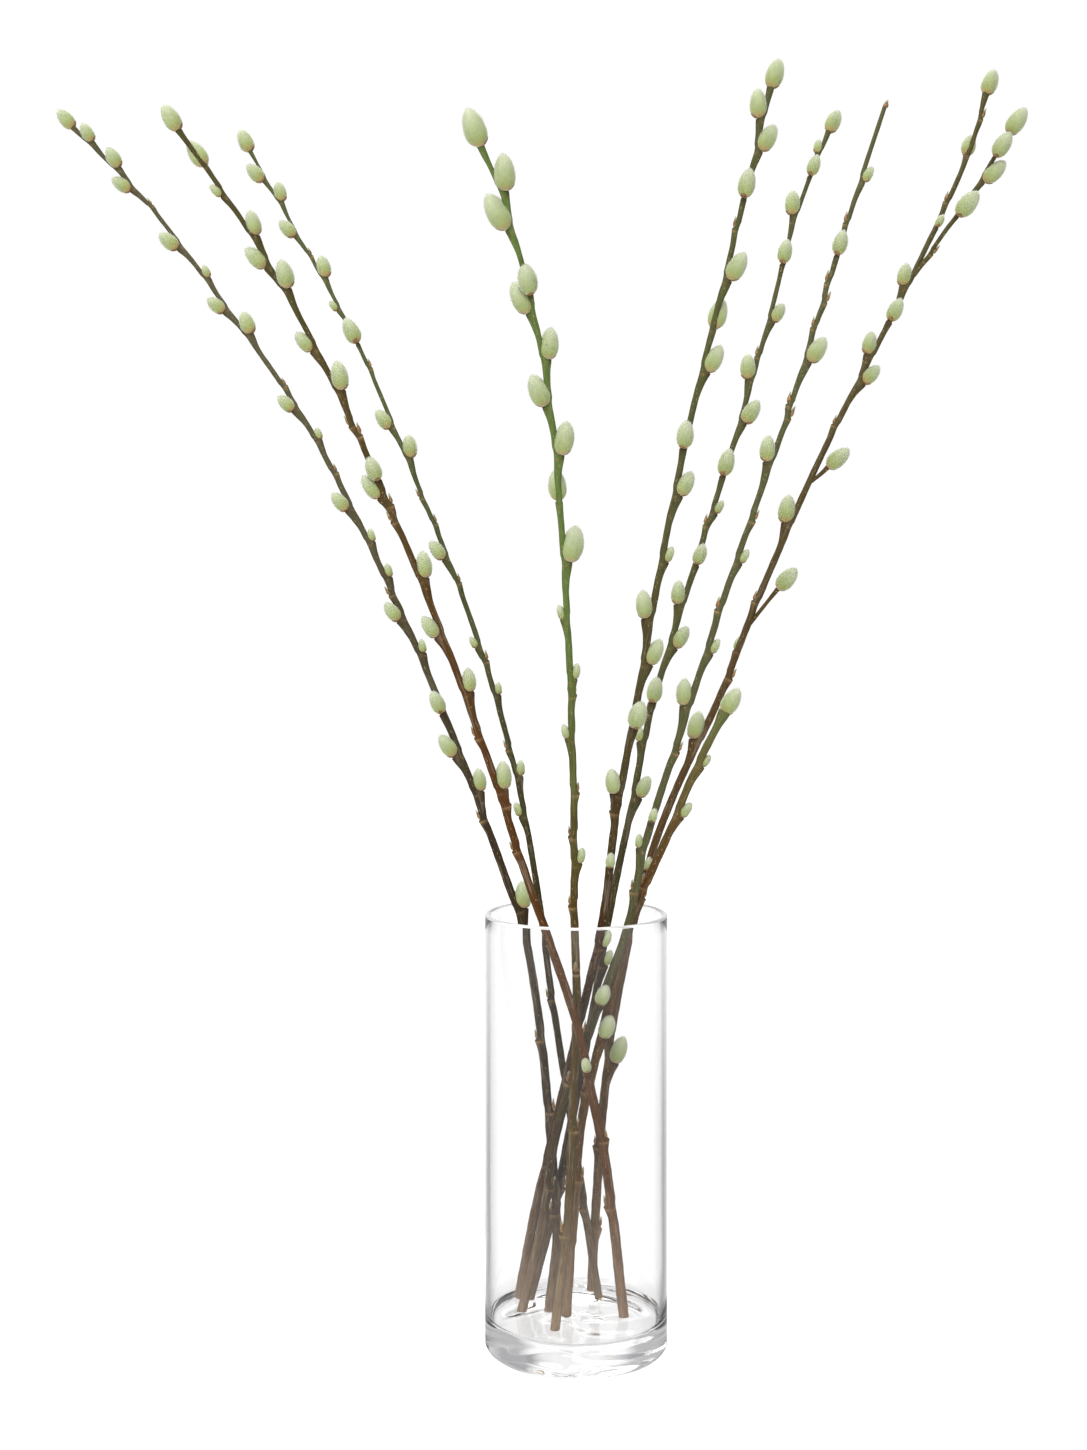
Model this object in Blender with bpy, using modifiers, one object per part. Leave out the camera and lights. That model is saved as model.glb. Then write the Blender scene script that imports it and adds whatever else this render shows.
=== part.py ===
"""Pussy willow stems standing loose in a clear glass cylinder vase.

Metres, +Z up, the middle of the vase's underside at the origin. The vase is
one turned glass. Nine cut stems stand in it, each grown as one piece with its
catkins and buds, so each is one node. The stems only stand there: they end a
hair above the glass floor and lean a hair off the rim.

A stem is a path of a few chosen points, from its tip to its cut foot. Its buds
are a row of letters read from the tip down, one letter for every BUD_STEP:
    L R F B   a full catkin to the left, the right, the front or behind
    l r f b   a small catkin to that side
    ( ) ! ^   a bare brown bud to the left, the right, the front or behind
    .         bare bark
"""
import math
import random

import bmesh
import bpy
from mathutils import Matrix, Vector

# The glass.
VASE_DIAMETER = 0.127
VASE_HEIGHT = 0.300
VASE_WALL = 0.0035
VASE_FLOOR = 0.022
VASE_EDGE = 0.005
VASE_SIDES = 40

# The stems.
STEM_SIDES = 6
LONGEST_SPAN = 0.040
FOOT_GAP = 0.0003
BUD_STEP = 0.010
KINK = 0.0006
SHOULDER = 0.015
SEED = 7

# Catkins and buds: length, greatest radius, sides, lean out from the stem in degrees.
FULL_CATKIN = (0.0184, 0.0058, 6, 15.0)
SMALL_CATKIN = (0.0112, 0.0034, 5, 14.0)
BARE_BUD = (0.0066, 0.0015, 4, 10.0)
SIZE_SPREAD = 0.12
TURN_SPREAD = 16.0

# How far the bark swells under a full catkin, a small one and a bare bud, in stem radii.
SWELL = {"full": 1.25, "small": 0.8, "bare": 0.3}

# The outlines of a catkin and a bud: share of the length, share of the radius.
CATKIN_OUTLINE = ((0.0, 0.0), (0.13, 0.66), (0.42, 1.0), (0.78, 0.68), (1.0, 0.0))
SMALL_OUTLINE = ((0.0, 0.0), (0.24, 0.92), (0.64, 0.86), (1.0, 0.0))
BUD_OUTLINE = ((0.0, 0.0), (0.26, 1.0), (0.62, 0.7), (1.0, 0.0))

# How far outside the bare bark a catkin or a bud is seated, on top of the swelling.
SEAT = {"full": 0.0014, "small": 0.0006, "bare": -0.0002}

SIDES = {
    "left": Vector((-1.0, 0.0, 0.0)),
    "right": Vector((1.0, 0.0, 0.0)),
    "front": Vector((0.0, -1.0, 0.0)),
    "behind": Vector((0.0, 1.0, 0.0)),
}
LETTERS = {
    "L": ("full", "left"), "R": ("full", "right"), "F": ("full", "front"), "B": ("full", "behind"),
    "l": ("small", "left"), "r": ("small", "right"), "f": ("small", "front"), "b": ("small", "behind"),
    "(": ("bare", "left"), ")": ("bare", "right"), "!": ("bare", "front"), "^": ("bare", "behind"),
}

# Each stem: its node, then its runs of wood. A run has the radius at its root and at
# its tip, what its tip carries, the size of its full catkins, its path in millimetres
# from tip to root, and its buds.
STEMS = {
    "stem_far_left": [{
        "radii": (0.0034, 0.0014), "tip": "full", "catkins": 1.04,
        "path": [(-387, 140, 885), (-329, 138, 826), (-264, 125, 741), (-200, 101, 650),
                 (-137, 76, 530), (-87, 56, 416), (-49, 39, 317), (-37, 34, 282),
                 (-25, 26, 213), (-17, 16, 130), (-13, 10, 76), (-19, 3, 22)],
        "buds": "..R..R.L.)...L..r..L..R....).L..r..)..L..r..r(.L..r....F..L..R.("
                "......R........(....)......(...",
    }],
    "stem_left": [{
        "radii": (0.0035, 0.0014), "tip": "full", "catkins": 1.0,
        "path": [(-249, -139, 807), (-211, -127, 753), (-169, -112, 680), (-129, -94, 593),
                 (-92, -80, 503), (-59, -66, 411), (-33, -54, 330), (-19, -49, 290),
                 (-1, -47, 236), (9, -42, 189), (21, -28, 124), (33, -6, 22)],
        "buds": "...B.l..R.L.R...L..R.()..FL)(...R...L...R..(...R)..(...............f....)....(.....",
    }],
    "stem_inner_left": [{
        "radii": (0.0029, 0.0011), "tip": "full", "catkins": 1.1,
        "path": [(-250, 140, 867), (-209, 129, 795), (-165, 114, 716), (-118, 94, 608),
                 (-76, 78, 503), (-45, 64, 401), (-28, 51, 315), (-18, 45, 241),
                 (-5, 39, 159), (5, 34, 96), (17, 28, 22)],
        "buds": "...L.R..L.).R..l..F.)....L..R..(.)..L.)....l)..r...(.r..l............(.....)........(...",
    }],
    "stem_centre": [{
        "radii": (0.0033, 0.0014), "tip": "full", "catkins": 1.22,
        "path": [(-58, -254, 767), (-45, -240, 739), (-30, -214, 688), (-19, -187, 633),
                 (-13, -161, 576), (-7, -123, 491), (-3, -83, 386), (-2, -55, 304),
                 (0, -38, 237), (-3, -33, 167), (-6, -32, 97), (-15, -31, 22)],
        "buds": "...R.L...FL..R..L..R..B...R...l...r)..l...)..(.r..(....!..........)......(...",
    }],
    "stem_inner_right": [{
        "radii": (0.0035, 0.0015), "tip": "full", "catkins": 1.04,
        "path": [(117, -147, 831), (107, -142, 787), (90, -132, 715), (70, -117, 629),
                 (53, -101, 542), (38, -85, 451), (25, -65, 372), (17, -48, 303),
                 (3, -23, 233), (-12, -5, 164), (-28, 13, 91), (-41, 30, 22)],
        "buds": "..L.R..F.(..R..B..R....F..R...r...L..R...F....L(...f.....r.....(..........).......",
    }],
    "stem_middle_right": [{
        "radii": (0.0033, 0.0014), "tip": "full", "catkins": 1.03,
        "path": [(187, 70, 863), (161, 63, 796), (141, 55, 721), (115, 44, 633),
                 (87, 37, 546), (56, 31, 446), (38, 26, 362), (23, 22, 291),
                 (13, 22, 230), (0, 22, 164), (-14, 23, 93), (-33, 25, 22)],
        "buds": "..l.F..L..)F...R..(.L..R...F..r(..F..L..R...F(.l...R...........r....(..........).....",
    }],
    "stem_bare_tip": [{
        "radii": (0.0034, 0.0014), "tip": "bare", "catkins": 1.0,
        "path": [(197, -94, 834), (182, -90, 787), (159, -85, 711), (135, -80, 633),
                 (104, -73, 543), (75, -63, 451), (46, -51, 357), (35, -43, 302),
                 (11, -32, 232), (-13, -19, 156), (-24, -7, 84), (-38, 3, 22)],
        "buds": ".....r..(.F.().(.R..()..L...)..r..(..r...L..)....f.l..(.......F.....(.......).....",
    }],
    "stem_forked": [
        {
            "radii": (0.0034, 0.0017), "tip": "full", "catkins": 1.12,
            "path": [(306, 85, 895), (291, 84, 845), (255, 75, 769), (232, 70, 724),
                     (178, 57, 620), (132, 48, 518), (103, 42, 446), (72, 36, 382),
                     (53, 32, 332), (38, 31, 272), (26, 34, 207), (18, 39, 127), (12, 44, 22)],
            "buds": "..)..B...(.f....L..F..L.R...(.......L.....(...b.)....L.........f.)"
                    ".........l.R.....(.....)..",
        },
        {
            "radii": (0.0017, 0.0013), "tip": "full", "catkins": 1.18,
            "path": [(311, 38, 853), (301, 45, 835), (287, 53, 811), (271, 62, 788),
                     (257, 70, 767), (250, 74, 757)],
            "buds": "..F.R..F..)",
        },
        {
            "radii": (0.0014, 0.0012), "tip": "full", "catkins": 1.12,
            "path": [(184, 50, 615), (178, 53, 609), (172, 56, 604)],
            "buds": "",
        },
        {
            "radii": (0.0015, 0.0012), "tip": "full", "catkins": 1.12,
            "path": [(146, 36, 527), (137, 42, 515), (125, 47, 499)],
            "buds": "",
        },
    ],
    "stem_short": [{
        "radii": (0.0034, 0.0026), "tip": "full", "catkins": 1.1,
        "path": [(99, -44, 442), (81, -41, 406), (63, -36, 362), (41, -31, 310),
                 (28, -27, 267), (15, -21, 212), (3, -16, 157), (-1, -11, 104), (-7, -4, 22)],
        "buds": "....r...r....(..........F...(.....)....(..",
    }],
}

# One plain colour for each node, the stems as bark.
COLOURS = {"vase": (0.86, 0.89, 0.90, 1.0), "stem": (0.20, 0.19, 0.11, 1.0)}


def collection(name, hidden=False):
    """A new collection in the scene."""
    made = bpy.data.collections.new(name)
    bpy.context.scene.collection.children.link(made)
    made.hide_render = hidden
    return made


def material(name, colour):
    """A Principled material of one colour."""
    made = bpy.data.materials.new(name)
    made.use_nodes = True
    shader = made.node_tree.nodes["Principled BSDF"]
    shader.inputs["Base Color"].default_value = colour
    shader.inputs["Roughness"].default_value = 0.5
    return made


def to_object(name, mesh_data, where):
    """A mesh object from bmesh data, in a collection."""
    mesh = bpy.data.meshes.new(name)
    mesh_data.to_mesh(mesh)
    mesh_data.free()
    made = bpy.data.objects.new(name, mesh)
    where.objects.link(made)
    return made


def turned(name, profile, sides, where):
    """A body of revolution: the profile goes up the inside and down the outside."""
    mesh = bpy.data.meshes.new(name)
    edges = [(i, i + 1) for i in range(len(profile) - 1)]
    mesh.from_pydata([(r, 0.0, z) for r, z in profile], edges, [])
    made = bpy.data.objects.new(name, mesh)
    where.objects.link(made)
    screw = made.modifiers.new("Turn", "SCREW")
    screw.axis = "Z"
    screw.angle = math.tau
    screw.steps = sides
    screw.render_steps = sides
    screw.use_merge_vertices = True
    screw.merge_threshold = 0.00001
    screw.use_smooth_shade = True
    return made


def vase_profile():
    """The glass outline: floor inside, wall, round rim, outside wall, round bottom edge."""
    outside = VASE_DIAMETER / 2
    inside = outside - VASE_WALL
    half = VASE_WALL / 2
    cove = 0.004
    profile = [(0.0, VASE_FLOOR), (inside - cove, VASE_FLOOR)]
    profile.append((inside - cove * 0.29, VASE_FLOOR + cove * 0.29))
    profile.append((inside, VASE_FLOOR + cove))
    for step in range(5):
        turn = math.pi * step / 4
        profile.append((outside - half - half * math.cos(turn), VASE_HEIGHT - half + half * math.sin(turn)))
    for step in range(4):
        turn = math.pi / 2 * step / 3
        across = outside - VASE_EDGE + VASE_EDGE * math.cos(turn)
        profile.append((across, VASE_EDGE - VASE_EDGE * math.sin(turn)))
    profile.append((0.0, 0.0))
    return profile


class Path:
    """A smooth path through chosen points, measured from its first point."""

    def __init__(self, points_mm, pieces=12):
        knots = [Vector(p) * 0.001 for p in points_mm]
        knots = [2 * knots[0] - knots[1]] + knots + [2 * knots[-1] - knots[-2]]
        self.points = []
        for i in range(1, len(knots) - 2):
            a, b, c, d = knots[i - 1:i + 3]
            for j in range(pieces):
                t = j / pieces
                bend = 2 * b + (c - a) * t + (2 * a - 5 * b + 4 * c - d) * t * t
                self.points.append(0.5 * (bend + (3 * b - a - 3 * c + d) * t * t * t))
        self.points.append(knots[-2])
        self.far = [0.0]
        for one, two in zip(self.points, self.points[1:]):
            self.far.append(self.far[-1] + (two - one).length)
        self.length = self.far[-1]

    def at(self, far):
        """The point at a distance from the tip, and the direction towards the tip."""
        far = min(max(far, 0.0), self.length)
        i = 1
        while i < len(self.far) - 1 and self.far[i] < far:
            i += 1
        one, two = self.points[i - 1], self.points[i]
        share = (far - self.far[i - 1]) / (self.far[i] - self.far[i - 1])
        return one.lerp(two, share), (one - two).normalized()


def read_buds(row, rng):
    """The buds of a row: distance from the tip, kind, and a seeded turn and size."""
    buds = []
    for place, letter in enumerate(row):
        if letter in LETTERS:
            kind, side = LETTERS[letter]
            turn = math.radians(rng.uniform(-TURN_SPREAD, TURN_SPREAD))
            size = 1.0 + rng.uniform(-SIZE_SPREAD, SIZE_SPREAD)
            shift = rng.uniform(-0.002, 0.002)
            buds.append((place * BUD_STEP + shift, kind, side, turn, size))
    return buds


def outward(side, along, turn):
    """A side of the stem as a direction square to it, turned a little round it."""
    facing = SIDES[side] - along * SIDES[side].dot(along)
    facing.normalize()
    return Matrix.Rotation(turn, 3, along) @ facing


def bark(path, radii, buds):
    """A tapering tube with a one-sided swelling under each bud, cut level at its foot."""
    root, tip = radii
    stations = [(0.0, None), (path.length, None)]
    for bud in buds:
        stations.append((bud[0], bud))
        if bud[1] == "full":
            stations.append((bud[0] - 0.0035, None))
        if bud[1] != "bare":
            stations.append((bud[0] + SHOULDER, None))
    stations.sort(key=lambda s: s[0])
    filled = [stations[0]]
    for far, bud in stations[1:]:
        gap = far - filled[-1][0]
        if gap < 0.0012 and bud is None and far < path.length:
            continue
        extra = int(gap / LONGEST_SPAN)
        start = filled[-1][0]
        for step in range(extra):
            filled.append((start + gap * (step + 1) / (extra + 1), None))
        filled.append((far, bud))
    made = bmesh.new()
    rings = []
    facing = Vector((1.0, 0.0, 0.0))
    for far, bud in filled:
        centre, along = path.at(far)
        radius = tip + (root - tip) * (far / path.length)
        facing = (facing - along * facing.dot(along)).normalized()
        other = along.cross(facing)
        side = None
        if bud is not None:
            side = outward(bud[2], along, bud[3])
            centre = centre + side * KINK
        ring = []
        for i in range(STEM_SIDES):
            turn = math.tau * i / STEM_SIDES
            away = facing * math.cos(turn) + other * math.sin(turn)
            reach = radius
            if side is not None:
                reach += radius * SWELL[bud[1]] * max(0.0, away.dot(side)) ** 2
            ring.append(centre + away * reach)
        rings.append(ring)
    if filled[-1][0] == path.length and path.points[-1].z < VASE_FLOOR + 0.01:
        along = path.at(path.length)[1]
        level = VASE_FLOOR + FOOT_GAP
        rings[-1] = [v + along * ((level - v.z) / along.z) for v in rings[-1]]
    rings = [[made.verts.new(v) for v in ring] for ring in rings]
    for one, two in zip(rings, rings[1:]):
        for i in range(STEM_SIDES):
            j = (i + 1) % STEM_SIDES
            made.faces.new((one[i], two[i], two[j], one[j]))
    made.faces.new(rings[0])
    made.faces.new(list(reversed(rings[-1])))
    bmesh.ops.triangulate(made, faces=made.faces[:])
    bmesh.ops.recalc_face_normals(made, faces=made.faces[:])
    return made


def spindle(outline, length, radius, sides, base, axis):
    """A sphere drawn out to an egg or bud outline, from a base point along an axis."""
    made = bmesh.new()
    levels = len(outline) - 1
    bmesh.ops.create_uvsphere(made, u_segments=sides, v_segments=levels, radius=1.0)
    spin = axis.to_track_quat("Z", "X")
    for vert in made.verts:
        level = levels - round(math.acos(max(-1.0, min(1.0, vert.co.z))) / math.pi * levels)
        share, wide = outline[level]
        across = Vector((vert.co.x, vert.co.y, 0.0))
        if across.length > 0.0001:
            across.normalize()
        vert.co = base + spin @ (across * wide * radius + Vector((0.0, 0.0, share * length)))
    bmesh.ops.triangulate(made, faces=made.faces[:])
    return made


def growth(kind, size, base, along, facing, lean):
    """The catkin or bud of a kind, leaning out from the stem by a number of degrees."""
    length, radius, sides, outline = {
        "full": (FULL_CATKIN[0], FULL_CATKIN[1], FULL_CATKIN[2], CATKIN_OUTLINE),
        "small": (SMALL_CATKIN[0], SMALL_CATKIN[1], SMALL_CATKIN[2], SMALL_OUTLINE),
        "bare": (BARE_BUD[0], BARE_BUD[1], BARE_BUD[2], BUD_OUTLINE),
    }[kind]
    lean = math.radians(lean)
    axis = (along * math.cos(lean) + facing * math.sin(lean)).normalized()
    return spindle(outline, length * size, radius * size, sides, base, axis)


def grow_stem(name, runs, rng, parts):
    """One stem as a single closed body: the bark of each run, then all its buds."""
    extra = collection(name + "_growth", hidden=True)
    leans = {"full": FULL_CATKIN[3], "small": SMALL_CATKIN[3], "bare": BARE_BUD[3]}
    body = None
    for run in runs:
        path = Path(run["path"])
        buds = read_buds(run["buds"], rng)
        wood = bark(path, run["radii"], buds)
        if body is None:
            body = to_object(name, wood, parts)
        else:
            to_object(name + "_wood", wood, extra)
        root, tip = run["radii"]
        for far, kind, side, turn, size in buds:
            if kind == "full":
                size *= run["catkins"]
            centre, along = path.at(far)
            radius = tip + (root - tip) * (far / path.length)
            facing = outward(side, along, turn)
            base = centre + facing * (radius + SEAT[kind]) + along * 0.0002
            to_object(name + "_bud", growth(kind, size, base, along, facing, leans[kind]), extra)
        centre, along = path.at(0.0)
        base = centre - along * 0.0018
        facing = outward("right", along, 0.0)
        to_object(name + "_tip", growth(run["tip"], 1.05 * run["catkins"], base, along, facing, 4.0), extra)
    for piece in extra.objects:
        piece.display_type = "WIRE"
        piece.hide_render = True
    union = body.modifiers.new("Grown together", "BOOLEAN")
    union.operation = "UNION"
    union.operand_type = "COLLECTION"
    union.collection = extra
    union.solver = "EXACT"
    bpy.context.view_layer.update()
    graph = bpy.context.evaluated_depsgraph_get()
    joined = bpy.data.meshes.new_from_object(body.evaluated_get(graph))
    body.modifiers.clear()
    old = body.data
    body.data = joined
    bpy.data.meshes.remove(old)
    for piece in list(extra.objects):
        bpy.data.objects.remove(piece, do_unlink=True)
    bpy.data.collections.remove(extra)
    clean = bmesh.new()
    clean.from_mesh(body.data)
    bmesh.ops.remove_doubles(clean, verts=clean.verts[:], dist=0.000001)
    bmesh.ops.dissolve_degenerate(clean, edges=clean.edges[:], dist=0.000001)
    bmesh.ops.triangulate(clean, faces=clean.faces[:])
    clean.to_mesh(body.data)
    clean.free()
    body.data.shade_smooth()
    body.data.set_sharp_from_angle(angle=math.radians(50.0))
    return body


def main():
    """Builds the vase and the nine stems."""
    for old in list(bpy.data.objects):
        bpy.data.objects.remove(old, do_unlink=True)
    parts = collection("Willow stems")
    vase = turned("vase", vase_profile(), VASE_SIDES, parts)
    vase.data.materials.append(material("vase glass", COLOURS["vase"]))
    print("vase", len(vase.data.vertices), "profile points")
    for count, (name, runs) in enumerate(STEMS.items()):
        rng = random.Random(SEED + count)
        stem = grow_stem(name, runs, rng, parts)
        stem.data.materials.clear()
        stem.data.materials.append(material(name + " bark", COLOURS["stem"]))
        print(name, len(stem.data.polygons), "triangles")


main()
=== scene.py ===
# %% [markdown]
# # Pussy willow in a glass vase
# Nine cut stems of pussy willow stand loose in a tall clear glass cylinder. The imported model
# already holds every stem and the vase at its real size. This lesson dresses them: fine bark
# with shoulders and leaf scars, silky catkins, dry bud scales and polished glass.
# Everything is in metres, with Z up and the middle of the vase's underside at the origin.

# %% Load the frame and bake in its parts' placement
import math
import random

import bpy
import numpy as np
from mathutils import Matrix, Vector


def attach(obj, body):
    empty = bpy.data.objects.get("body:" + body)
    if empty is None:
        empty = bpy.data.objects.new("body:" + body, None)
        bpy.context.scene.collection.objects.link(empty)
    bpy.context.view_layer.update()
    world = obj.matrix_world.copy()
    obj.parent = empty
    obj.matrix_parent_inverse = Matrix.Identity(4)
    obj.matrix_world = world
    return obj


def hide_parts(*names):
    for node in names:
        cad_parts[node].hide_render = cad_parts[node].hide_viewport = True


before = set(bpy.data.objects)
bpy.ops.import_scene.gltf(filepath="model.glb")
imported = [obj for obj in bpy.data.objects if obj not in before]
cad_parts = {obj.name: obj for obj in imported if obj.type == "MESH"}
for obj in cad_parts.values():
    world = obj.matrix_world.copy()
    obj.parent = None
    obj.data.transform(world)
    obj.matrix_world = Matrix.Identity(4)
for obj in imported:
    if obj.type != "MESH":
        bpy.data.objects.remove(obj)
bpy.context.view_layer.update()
print("nodes:", ", ".join(sorted(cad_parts)))

# %% [markdown]
# ## The camera
# The photograph looks level at the object from about 1.25 m, just above half its height, so
# upright lines stay parallel. A level camera with a small upward shift of the film gives that.
# The lens length follows from the vase: 127 mm across, and 183 of the picture's 1450 pixels.

# %% Camera at the photograph's place
PICTURE_HEIGHT = 1450.0
FOCAL_PIXELS = 1800.0
HORIZON_ROW = 622.0
CAMERA_PLACE = (-0.0226, -1.251, 0.502)

lens = bpy.data.cameras.new("Studio camera")
lens.sensor_width = 36.0
lens.lens = FOCAL_PIXELS / PICTURE_HEIGHT * lens.sensor_width
lens.shift_y = -(PICTURE_HEIGHT / 2 - HORIZON_ROW) / PICTURE_HEIGHT
camera = bpy.data.objects.new("Studio camera", lens)
camera.location = CAMERA_PLACE
camera.rotation_euler = (math.pi / 2, 0.0, 0.0)
bpy.context.scene.collection.objects.link(camera)
bpy.context.scene.camera = camera
print("lens of", round(lens.lens, 1), "mm, shift", round(lens.shift_y, 3))

# %% [markdown]
# ## Colours and nodes
# Colours are written as sRGB hex, the way a colour picker shows them, and one function turns
# them to the linear values that the shader wants. Another adds one node with its settings
# and its links, so each material reads as a short list.

# %% Helpers for colour and materials
def linear(hex_colour):
    """An sRGB hex colour as linear RGBA."""
    out = []
    for i in (1, 3, 5):
        value = int(hex_colour[i:i + 2], 16) / 255
        out.append(value / 12.92 if value <= 0.04045 else ((value + 0.055) / 1.055) ** 2.4)
    return (*out, 1.0)


def add(tree, kind, inputs=None, stops=(), **settings):
    """A shader node with its settings, colour stops, and inputs set to values or linked.

    A node that is given as an input is linked by its first output.
    """
    node = tree.nodes.new("ShaderNode" + kind)
    for name, value in settings.items():
        setattr(node, name, value)
    for name, value in (inputs or {}).items():
        if isinstance(value, bpy.types.Node):
            value = value.outputs[0]
        if isinstance(value, bpy.types.NodeSocket):
            tree.links.new(value, node.inputs[name])
        else:
            node.inputs[name].default_value = value
    for position, colour in stops[1:-1]:
        node.color_ramp.elements.new(position)
    for number, (position, colour) in enumerate(stops):
        node.color_ramp.elements[number].position = position
        node.color_ramp.elements[number].color = colour
    return node


def new_material(name, constants):
    """A material, its node tree and its one Principled shader with some constants set on it."""
    made = bpy.data.materials.new(name)
    made.use_nodes = True
    shader = made.node_tree.nodes["Principled BSDF"]
    for socket, value in constants.items():
        shader.inputs[socket].default_value = value
    return made, made.node_tree, shader


print("white in linear light:", linear("#ffffff")[:3])

# %% [markdown]
# ## The glass
# A cylinder vase is blown soda-lime glass: colourless, without roughness, and fire-polished at
# the rim. Its index of refraction is near 1.52. It is lowered to 1.46 here, which draws the
# edges as thin as the photograph has them. The rim is drawn a little milky, a painted
# highlight for the light that polished glass carries round it, so that it shows as a pale
# ring. One closed wall with real thickness bends the light by itself.

# %% Soda-lime glass
glass = new_material("Clear soda-lime glass", {
    "Base Color": linear("#fbfbfb"), "Roughness": 0.0, "IOR": 1.46, "Specular IOR Level": 0.12,
    "Transmission Weight": 1.0})[0]
# The rim's glass is partly milky white: a painted highlight for its pale ring.
rim_glass = new_material("Fire-polished glass rim", {
    "Base Color": linear("#fdfdfd"), "Roughness": 0.06, "IOR": 1.46, "Transmission Weight": 0.55})[0]
print("materials:", glass.name, "|", rim_glass.name)

# %% [markdown]
# ## The bark
# Young willow bark is smooth and waxy: a satin surface, olive green where the sun reaches it
# and brown lower down. Fine streaks about 0.6 mm wide run along the stem, with pale corky
# pores (lenticels) about 1 mm long scattered over them. The bark carries its own measured
# coordinates: U is millimetres round the stem and V is millimetres along it, so the scales
# below are real. Two numbers stored on each point mark the dark leaf scars and the tan corky
# rings.

# %% Willow bark
def bark_material(name, upper, lower, turn_height, spread):
    """Satin bark that turns from one colour above to another below, round a height in metres."""
    made, tree, shader = new_material(name, {"Specular IOR Level": 0.08})
    place = add(tree, "TexCoord")
    height = add(tree, "SeparateXYZ", {"Vector": place.outputs["Object"]})
    blotch = add(tree, "TexNoise", {"Vector": place.outputs["Object"], "Scale": 28.0, "Detail": 3.0})
    drift = add(tree, "Math", {0: blotch, 1: spread * 1.6, 2: height.outputs["Z"]},
                operation="MULTIPLY_ADD")
    age = add(tree, "MapRange", {"Value": drift, "From Min": turn_height + spread * 1.8,
                                 "From Max": turn_height - spread * 0.2})
    base = add(tree, "Mix", {0: age, 6: linear(upper), 7: linear(lower)}, data_type="RGBA")
    # Low in the vase the bark is mixed towards pale grey-brown: painted haze, a painted reflection of the
    # white floor in the glass.
    foot = add(tree, "MapRange", {"Value": height.outputs["Z"], "From Min": 0.12,
                                  "From Max": 0.02, "To Max": 0.42})
    painted_foot_haze = add(tree, "Mix", {0: foot, 6: base.outputs[2], 7: linear("#a28b76")}, data_type="RGBA")
    along = add(tree, "Mapping", {"Vector": place.outputs["UV"], "Scale": (1.7, 0.09, 1.0)})
    streak = add(tree, "TexNoise", {"Vector": along, "Scale": 1.0, "Detail": 4.0, "Roughness": 0.6})
    streak_light = add(tree, "MapRange", {"Value": streak, "From Min": 0.3,
                                          "From Max": 0.7, "To Min": 0.52, "To Max": 1.38})
    shaded = add(tree, "Mix", {0: 1.0, 6: painted_foot_haze.outputs[2], 7: streak_light},
                 data_type="RGBA", blend_type="MULTIPLY")
    patch = add(tree, "Mapping", {"Vector": place.outputs["UV"], "Scale": (0.34, 0.035, 1.0)})
    skin = add(tree, "TexNoise", {"Vector": patch, "Scale": 1.0, "Detail": 5.0, "Roughness": 0.65})
    peel = add(tree, "MapRange", {"Value": skin, "From Min": 0.52, "From Max": 0.70, "To Max": 0.45})
    peeled = add(tree, "Math", {0: peel, 1: age}, operation="MULTIPLY")
    pores = add(tree, "Mapping", {"Vector": place.outputs["UV"], "Scale": (0.42, 0.22, 1.0)})
    cells = add(tree, "TexVoronoi", {"Vector": pores, "Scale": 1.0})
    pore = add(tree, "MapRange", {"Value": cells, "From Min": 0.2, "From Max": 0.1, "To Max": 0.55})
    dark = add(tree, "Attribute", attribute_name="scar")
    cork = add(tree, "Attribute", attribute_name="cork")
    colour = shaded.outputs[2]
    for share, tint in ((peeled, "#8f8674"), (pore, "#a08a63"),
                        (dark.outputs["Fac"], "#34241a"), (cork.outputs["Fac"], "#937650")):
        layer = add(tree, "Mix", {0: share, 6: colour, 7: linear(tint)}, data_type="RGBA")
        colour = layer.outputs[2]
    tree.links.new(colour, shader.inputs["Base Color"])
    relief = add(tree, "Math", {0: streak, 1: pore}, operation="ADD")
    bump = add(tree, "Bump", {"Height": relief, "Strength": 0.5, "Distance": 0.0003})
    tree.links.new(bump.outputs[0], shader.inputs["Normal"])
    worn = add(tree, "MapRange", {"Value": streak, "To Min": 0.42, "To Max": 0.62})
    tree.links.new(worn.outputs[0], shader.inputs["Roughness"])
    return made


BARK_COLOURS = {
    "stem_far_left": ("#4a4630", "#302516", 0.48, 0.15),
    "stem_left": ("#413d1f", "#4b2e12", 0.58, 0.14),
    "stem_inner_left": ("#474c2b", "#312916", 0.46, 0.18),
    "stem_centre": ("#546532", "#453614", 0.42, 0.10),
    "stem_inner_right": ("#494a2a", "#3a2512", 0.46, 0.16),
    "stem_middle_right": ("#4a4a2c", "#302616", 0.36, 0.12),
    "stem_bare_tip": ("#4c4c30", "#372a16", 0.26, 0.10),
    "stem_forked": ("#494427", "#4b3820", 0.60, 0.14),
    "stem_short": ("#575c34", "#553c1e", 0.40, 0.05),
}
barks = {}
for stem, (upper, lower, turn_height, spread) in BARK_COLOURS.items():
    label = "Willow bark, " + stem.replace("_", " ")
    barks[stem] = bark_material(label, upper, lower, turn_height, spread)
print("bark materials:", len(barks))
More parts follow.
